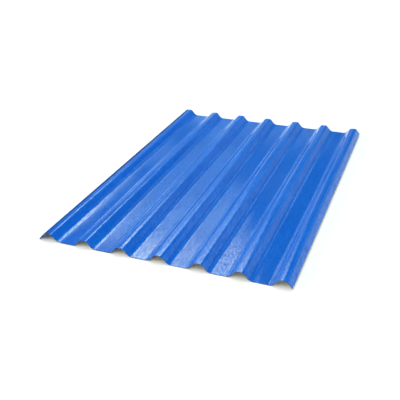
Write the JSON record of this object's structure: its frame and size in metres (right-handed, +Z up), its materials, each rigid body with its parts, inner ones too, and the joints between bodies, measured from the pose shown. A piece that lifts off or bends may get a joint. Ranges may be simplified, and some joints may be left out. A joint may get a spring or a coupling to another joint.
{
  "type": "pvc roofing sheet",
  "caption": "Glossy blue plastic roofing sheet, extruded with rounded trapezoidal ribs and flat pans, laid lengthwise over purlins to shed rain and lapped with its neighbours at the side ribs.",
  "frame": {"origin": "on the floor under the middle rib's centre line, half way along the sheet", "axes": "+X across the ribs towards the raised lapping edge, +Y along the ribs, +Z up out of the weather face"},
  "size_m": [1.1348, 1.67, 0.0355],
  "materials": {
    "roofing_sheet": "gloss"
  },
  "bodies": {
    "root": {"roofing_sheet": "roofing_sheet"}
  },
  "joints": []
}
